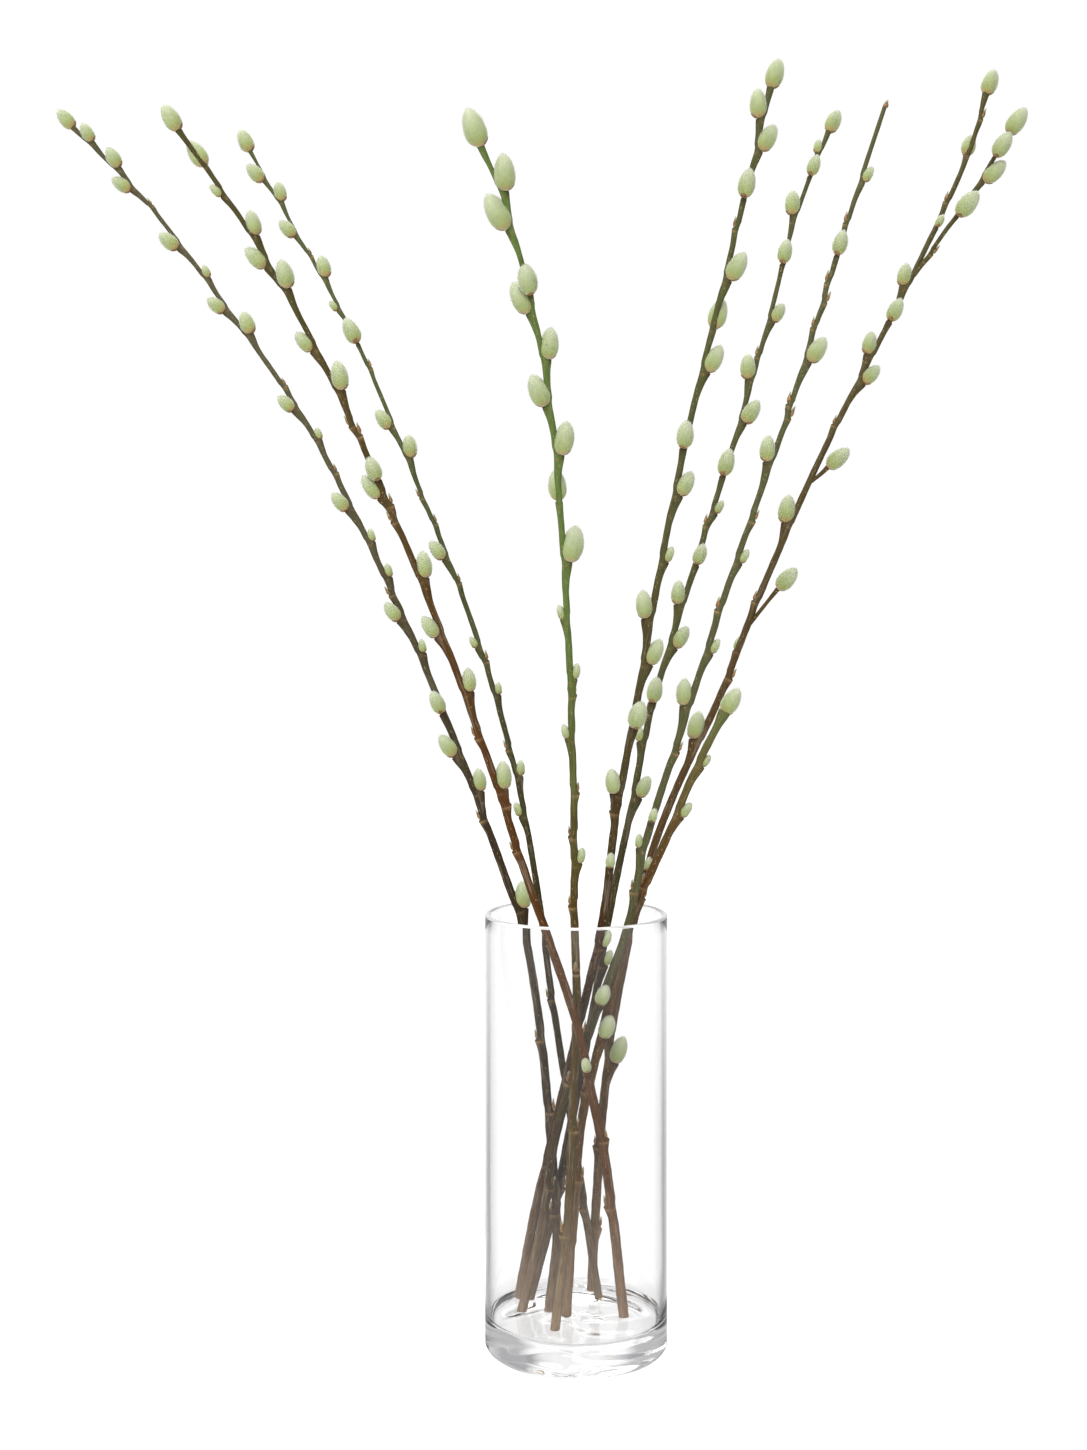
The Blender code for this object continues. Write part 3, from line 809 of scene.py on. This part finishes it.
# %% Collect and join the parts of a kind
class Gather:
    """Collects points, faces and numbers of many small shapes into one mesh."""

    def __init__(self):
        self.points, self.faces, self.numbers, self.lies, self.count = [], [], {}, [], 0

    def take(self, points, faces, numbers=None, lies=None):
        """Adds one shape, with the numbers on its points and the way that its faces catch light."""
        if isinstance(faces, np.ndarray):
            self.faces += (faces + self.count).tolist()
        else:
            self.faces += [tuple(i + self.count for i in face) for face in faces]
        self.points.append(points)
        for label, values in (numbers or {}).items():
            self.numbers.setdefault(label, []).append(values)
        if lies is not None:
            self.lies.append(lies)
        self.count += len(points)

    def piece(self, name, finish, slot):
        """The mesh of all the shapes taken."""
        numbers = {label: np.concatenate(values) for label, values in self.numbers.items()}
        made = piece(name, np.vstack(self.points), self.faces, finish, numbers)
        if self.lies:
            made.data.normals_split_custom_set(np.vstack(self.lies).tolist())
        return made


KINDS = {
    "full": {"length": 0.0184, "radius": 0.0058, "lean": 15.0, "seat": 0.0014, "hairs": 1400,
             "reach": 0.0028, "scale": 0.19},
    "small": {"length": 0.0112, "radius": 0.0034, "lean": 14.0, "seat": 0.0006, "hairs": 540,
              "reach": 0.0020, "scale": 0.30},
    "bare": {"length": 0.0078, "radius": 0.0015, "lean": 10.0, "seat": -0.0002, "hairs": 90,
             "reach": 0.0013},
}
print("kinds of growth:", ", ".join(KINDS))

# %% [markdown]
# The silk takes up the outer part of the solid's egg, so the body inside is 87% of its width
# and 92% of its length, and the hairs reach out to the full size.

# %% Grow every stem
BODY_WIDTH = 0.87
BODY_LENGTH = 0.92
BUD_RISE = 0.0009
TIP_SINK = 0.0018
TIP_LEAN = 4.0
TIP_BUD = (0.0058, 0.0021)
CUT_RADIUS = 0.0029
CUT_CORNERS = 24

total_hairs = 0
for order, (name, runs) in enumerate(STEMS.items()):
    rng = random.Random(SEED + order)
    loose = random.Random(100 + order)
    spread = np.random.default_rng(SEED + order)
    short = name.replace("stem_", "")
    wood, bodies, fluff, dry = Gather(), Gather(), Gather(), Gather()
    wood_uvs = []
    for number, run in enumerate(runs):
        path = Path(run["path"])
        buds = read_buds(run["buds"], rng)
        end_kind = run.get("tip", "full")
        tip_swell = 0.65 if end_kind == "full" else 0.0
        points, faces, marks, uvs = bark_tube(path, run["radii"], buds, loose, number == 0, tip_swell)
        wood.take(points, faces, marks)
        wood_uvs += uvs
        root, tip = run["radii"]
        grown = []
        for far, kind, side, turn, size in buds:
            if kind == "full":
                size *= run["catkins"]
            centre, along = path.at(far)
            facing = outward(side, along, turn)
            radius = tip + (root - tip) * (far / path.length)
            base = centre + facing * (radius + KINDS[kind]["seat"]) + along * BUD_RISE
            grown.append((kind, base, along, facing, KINDS[kind]["lean"], size))
        centre, along = path.at(0.0)
        grown.append((end_kind, centre - along * TIP_SINK, along, outward("right", along, 0.0), TIP_LEAN,
                      1.05 * run["catkins"]))
        for kind, base, along, facing, lean, size in grown:
            growth = KINDS[kind]
            slant = math.radians(lean)
            axis = (along * math.cos(slant) + facing * math.sin(slant)).normalized()
            length, radius = growth["length"] * size, growth["radius"] * size
            if kind == "bare" and lean == TIP_LEAN:
                length, radius = TIP_BUD
            if kind == "bare":
                dry.take(*bare_bud(base, axis, facing, length, radius))
                crown = base + axis * (0.45 * length)
                total_hairs += growth["hairs"]
                fluff.take(*hairs(crown, axis, length * 0.55, radius * 0.62, growth["hairs"],
                                  growth["reach"], spread))
                continue
            length, radius = length * BODY_LENGTH, radius * BODY_WIDTH
            bodies.take(*egg(base, axis, length, radius, loose.uniform(0, 6)))
            count = int(growth["hairs"] * size)
            total_hairs += count
            fluff.take(*hairs(base, axis, length, radius, count, growth["reach"], spread))
            dry.take(*bud_scale(base, axis, facing, length, radius, growth["scale"]))
    bark = wood.piece(short + "_bark", barks[name], "willow_bark")
    measured = bark.data.uv_layers.new(name="Measured")
    measured.data.foreach_set("uv", np.array(wood_uvs, dtype=np.float32).ravel())
    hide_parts(name)
    bodies.piece(short + "_catkins", catkin_body, "catkin_silk")
    fluff.piece(short + "_silk", silk, "catkin_silk")
    dry.piece(short + "_bud_scales", scale_brown, "bud_scale")
    foot = Path(runs[0]["path"]).points[-1]
    ring = [(foot.x + CUT_RADIUS * math.cos(a), foot.y + CUT_RADIUS * math.sin(a))
            for a in np.linspace(0, math.tau, CUT_CORNERS, endpoint=False)]
    disc = [(x, y, z) for z in (VASE_FLOOR + 0.0002, VASE_FLOOR + 0.001) for x, y in ring]
    disc_faces = [tuple(reversed(range(CUT_CORNERS))), tuple(range(CUT_CORNERS, 2 * CUT_CORNERS))]
    for i in range(CUT_CORNERS):
        j = (i + 1) % CUT_CORNERS
        disc_faces.append((i, j, CUT_CORNERS + j, CUT_CORNERS + i))
    piece(short + "_cut_end", disc, disc_faces, cut_wood)
print(total_hairs, "hairs on", len(STEMS), "stems")

# %% [markdown]
# ## Floor and background
# The photograph is high-key: a white floor that runs into a white background, soft light from
# all round, and hardly a shadow. The floor is a wide disc of white acrylic with some light in
# it, and curved sheets of lit paper stand behind and in front. Mirrored rays meet none of
# them, and rays through the glass meet only the sheet in front: they see the painted room of
# the next step.

# %% Floor and paper
FLOOR_RADIUS = 6.0
PAPER_RADIUS = 5.9
PAPER_TOP = 5.0


def sheet(name, points, faces, finish):
    """A flat or curved sheet of the studio."""
    mesh = bpy.data.meshes.new(name)
    mesh.from_pydata(points, [], faces)
    mesh.materials.append(finish)
    made = bpy.data.objects.new(name, mesh)
    bpy.context.scene.collection.objects.link(made)
    made.visible_glossy = False
    return made


card, tree, shader = new_material("Matt white acrylic, lit from below", {
    "Roughness": 0.9, "Specular IOR Level": 0.1, "Emission Color": linear("#ffffff"),
    "Emission Strength": 0.55})
place = add(tree, "TexCoord")
tooth = add(tree, "TexNoise", {"Vector": place.outputs["Object"], "Scale": 60.0})
tone = add(tree, "MapRange", {"Value": tooth, "To Min": 0.53, "To Max": 0.55})
tree.links.new(tone.outputs[0], shader.inputs["Base Color"])
edge = [(FLOOR_RADIUS * math.cos(a), FLOOR_RADIUS * math.sin(a), 0.0)
        for a in np.linspace(0, math.tau, 96, endpoint=False)]
floor = sheet("white_floor", edge, [tuple(range(96))], card)
floor.visible_transmission = False

paper, tree, shader = new_material("White background paper, lit", {
    "Base Color": linear("#000000"), "Specular IOR Level": 0.0, "Emission Color": linear("#ffffff")})
place = add(tree, "TexCoord")
rise = add(tree, "SeparateXYZ", {"Vector": place.outputs["Object"]})
tone = add(tree, "MapRange", {"Value": rise.outputs["Z"], "From Min": -1.0, "From Max": -0.2,
                              "To Min": 0.74, "To Max": 1.03}, interpolation_type="SMOOTHSTEP")
tree.links.new(tone.outputs[0], shader.inputs["Emission Strength"])


def background_wall(name, middle, half_width, foot_height):
    """An upright sheet of paper, curved round the object, between two turns from its middle."""
    turns = np.radians(np.linspace(middle - half_width, middle + half_width, 49))
    points = [(PAPER_RADIUS * math.cos(a), PAPER_RADIUS * math.sin(a), z)
              for z in (foot_height, PAPER_TOP) for a in turns]
    made = sheet(name, points, [(i + 1, i, 49 + i, 50 + i) for i in range(48)], paper)
    made.visible_diffuse = False
    made.visible_shadow = False
    return made


behind = background_wall("background_behind", 90, 112, -0.02)
behind.visible_transmission = False
background_wall("background_in_front", 270, 68, -2.3)
print("studio sheets stand at", PAPER_RADIUS, "m")

# %% [markdown]
# ## The painted room
# Glass shows what is round it, so the world is a painted room. In it `share` is 0 straight
# behind the object, 0.5 at its two sides and 1 at the viewer. Above the floor's level the
# walls are white behind and mid grey all the way round from there, under a bright ceiling.
# Below it they are nearly white behind, light at the sides and dark towards the viewer, which
# draws the edges of the vase and the streaks in its base. Two soft panels give the stems form.

# %% Room and lights
world = bpy.data.worlds.new("White studio")
world.use_nodes = True
bpy.context.scene.world = world
tree = world.node_tree
way = add(tree, "TexCoord")
parts = add(tree, "SeparateXYZ", {"Vector": way.outputs["Generated"]})
around = add(tree, "Math", {0: parts.outputs["X"], 1: parts.outputs["Y"]}, operation="ARCTAN2")
side = add(tree, "Math", {0: around}, operation="ABSOLUTE")
share = add(tree, "Math", {0: side, 1: math.pi}, operation="DIVIDE")
WALLS = [(0.104, 1.0), (0.15, 0.48), (0.30, 0.48), (0.50, 0.56), (0.70, 0.60), (0.86, 0.55), (1.0, 0.55)]
walls = add(tree, "ValToRGB", {"Fac": share},
            [(position, (grey, grey, grey, 1.0)) for position, grey in WALLS])
LOW_WALLS = [(0.0, 1.18), (0.06, 1.18), (0.095, 1.05), (0.13, 0.50), (0.24, 0.45), (0.36, 0.9),
             (0.6, 0.8), (0.78, 0.28), (1.0, 0.25)]
low = add(tree, "ValToRGB", {"Fac": share},
          [(position, (grey, grey, grey * (1.03 if grey < 0.6 else 1.0), 1.0))
           for position, grey in LOW_WALLS])
BANDS = {
    "above": ("Z", 0.45, 0.8, 0.0, 1.0, "SMOOTHSTEP"),
    "toward": ("share", 0.66, 0.76, 0.0, 1.0, "SMOOTHSTEP"),
    "steep": ("Z", -0.26, -0.38, 0.0, 0.66, "SMOOTHSTEP"),
    "beneath": ("Z", -0.09, -0.13, 0.0, 1.0, "LINEAR"),
    "deep": ("Z", -0.15, -0.30, 0.5, 1.0, "SMOOTHSTEP"),
    "ahead": ("share", 0.40, 0.60, 0.0, 1.0, "SMOOTHSTEP"),
    "dusk": ("Z", -0.345, -0.40, 1.0, 0.80, "SMOOTHSTEP"),
    "nadir": ("Z", -0.55, -0.75, 0.0, 1.0, "LINEAR"),
}
band = {}
for label, (across, start, end, least, most, curve) in BANDS.items():
    value = share if across == "share" else parts.outputs["Z"]
    band[label] = add(tree, "MapRange", {"Value": value, "From Min": start, "From Max": end,
                                         "To Min": least, "To Max": most}, interpolation_type=curve)
room = add(tree, "Mix", {0: band["above"], 6: walls, 7: (1.35, 1.35, 1.35, 1.0)}, data_type="RGBA")
lit = add(tree, "Math", {0: band["toward"], 1: band["steep"]}, operation="MULTIPLY")
glowing = add(tree, "Mix", {0: 1.0, 6: low, 7: lit}, data_type="RGBA", blend_type="ADD")
faded = add(tree, "Mix", {0: band["deep"], 6: (1.1, 1.1, 1.1, 1.0), 7: glowing.outputs[2]},
            data_type="RGBA")
faded = add(tree, "Mix", {0: 1.0, 6: faded.outputs[2], 7: band["dusk"]}, data_type="RGBA",
            blend_type="MULTIPLY")
under = add(tree, "Mix", {0: band["ahead"], 6: faded.outputs[2], 7: glowing.outputs[2]},
            data_type="RGBA")
under = add(tree, "Mix", {0: band["nadir"], 6: under.outputs[2], 7: (0.80, 0.80, 0.81, 1.0)},
            data_type="RGBA")
whole = add(tree, "Mix", {0: band["beneath"], 6: room.outputs[2], 7: under.outputs[2]}, data_type="RGBA")
tree.links.new(whole.outputs[2], tree.nodes["Background"].inputs["Color"])
tree.nodes["Background"].inputs["Strength"].default_value = 1.03


def panel(name, place, aim, size, power):
    """A soft square light that faces a point."""
    lamp = bpy.data.lights.new(name, "AREA")
    lamp.shape = "SQUARE"
    lamp.size = size
    lamp.energy = power
    made = bpy.data.objects.new(name, lamp)
    made.location = place
    made.rotation_euler = (Vector(aim) - Vector(place)).to_track_quat("-Z", "Y").to_euler()
    bpy.context.scene.collection.objects.link(made)
    return made


panel("Soft panel above", (-0.5, 0.2, 3.0), (0.0, 0.0, 0.3), 3.0, 40.0)
panel("Soft panel in front", (-0.8, -2.4, 1.9), (0.0, 0.0, 0.5), 1.6, 62.0)
bpy.context.scene.view_settings.view_transform = "Standard"
print("studio ready")
